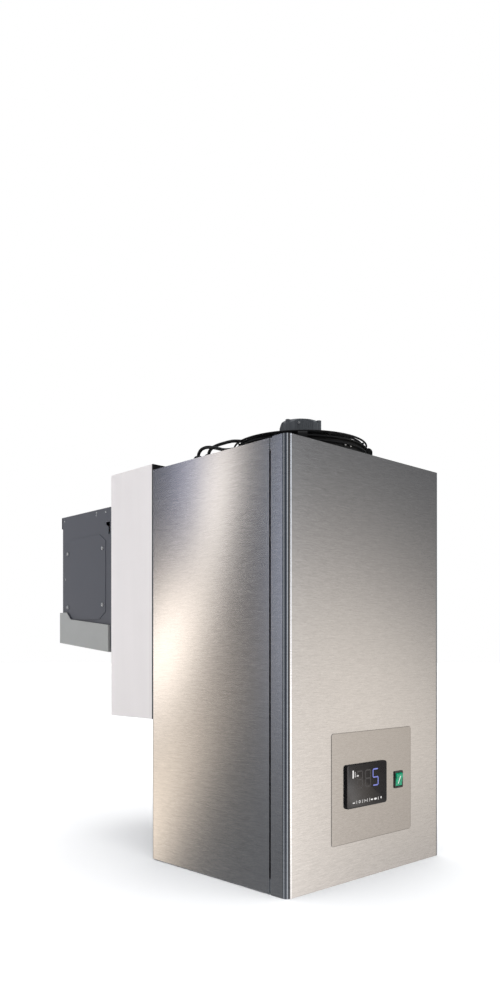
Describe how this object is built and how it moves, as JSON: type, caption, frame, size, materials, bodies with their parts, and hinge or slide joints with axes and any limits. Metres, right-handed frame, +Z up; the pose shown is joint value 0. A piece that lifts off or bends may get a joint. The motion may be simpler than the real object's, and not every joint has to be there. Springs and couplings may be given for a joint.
{
  "type": "monoblock refrigeration unit",
  "caption": "Wall-mounted monoblock refrigeration unit: stainless condensing cabinet with a top fan, insulated wall plug, and a fan evaporator with a drip tray behind it.",
  "frame": {"origin": "under the middle of the whole unit, on the plane that the base tray stands on", "axes": "+Z is up; the stainless front cover faces -Y and the evaporator is at +Y; +X is to the right of someone facing the front cover"},
  "size_m": [0.425, 0.7246, 0.8295],
  "materials": {
    "stainless": "brushed",
    "galvanised": "zinc coated",
    "black_steel": "satin",
    "dark_grey_steel": "satin",
    "light_grey_steel": "satin",
    "motor_grey": "cast",
    "zinc": "bright",
    "aluminium": "mill",
    "copper": "drawn",
    "black_plastic": "matte",
    "gloss_black": "gloss",
    "green_plastic": "translucent",
    "label_film": "satin",
    "ivory_plastic": "matte",
    "white_plastic": "satin",
    "foam": "closed cell",
    "rubber": "matte"
  },
  "bodies": {
    "unit": {"base_tray": "galvanised", "left_post": "galvanised", "right_post": "galvanised", "left_side_panel": "stainless", "right_side_panel": "stainless", "front_cover": "stainless", "top_panel": "stainless", "back_panel": "galvanised", "back_screws": "zinc", "control_label": "label_film", "controller_housing": "black_plastic", "controller_lens": "gloss_black", "switch_body": "black_plastic", "electrical_box": "galvanised", "electrical_box_lid": "galvanised", "terminal_block": "ivory_plastic", "compressor_shell": "black_steel", "compressor_grommets": "rubber", "compressor_bolts": "zinc", "compressor_terminal_cover": "black_plastic", "condenser_fins": "aluminium", "condenser_tubes": "copper", "condenser_end_plates": "galvanised", "fan_ring": "black_steel", "fan_guard": "black_steel", "guard_side_rings": "black_steel", "guard_legs": "black_steel", "guard_screws": "zinc", "fan_motor": "motor_grey", "filter_drier": "copper", "capillary_tube": "copper", "discharge_pipe": "copper", "liquid_pipe": "copper", "suction_pipe": "copper", "cable_glands": "black_plastic", "lead_grommet": "rubber", "fan_lead": "rubber", "link_lead": "rubber", "plug_skin": "white_plastic", "plug_core": "foam", "plug_gasket": "rubber", "evaporator_back_plate": "dark_grey_steel", "evaporator_top": "dark_grey_steel", "evaporator_left_side": "dark_grey_steel", "evaporator_right_side": "dark_grey_steel", "evaporator_fan_plate": "dark_grey_steel", "left_access_cover": "dark_grey_steel", "right_access_cover": "dark_grey_steel", "access_cover_screws": "zinc", "evaporator_fins": "aluminium", "evaporator_tubes": "copper", "evaporator_end_plates": "galvanised", "evaporator_fan_motor": "motor_grey", "evaporator_fan_guard": "black_steel", "drip_tray": "light_grey_steel", "drain_spout": "ivory_plastic"},
    "condenser_fan": {"fan_shaft": "zinc", "fan_blades": "aluminium"},
    "evaporator_fan": {"evaporator_fan_blades": "aluminium"},
    "rocker": {"switch_rocker": "green_plastic"}
  },
  "joints": [
    {"name": "condenser_fan_spin", "type": "hinge", "parent": "unit", "child": "condenser_fan", "pos_m": [0, -0.18725, 0.75], "axis": [0, 0, 1], "continuous": true},
    {"name": "evaporator_fan_spin", "type": "hinge", "parent": "unit", "child": "evaporator_fan", "pos_m": [0, 0.34375, 0.57525], "axis": [0, 1, 0], "continuous": true},
    {"name": "rocker_press", "type": "hinge", "parent": "unit", "child": "rocker", "pos_m": [0.0795, -0.35525, 0.1605], "axis": [-1, 0, 0], "range_deg": [0, 16]}
  ]
}
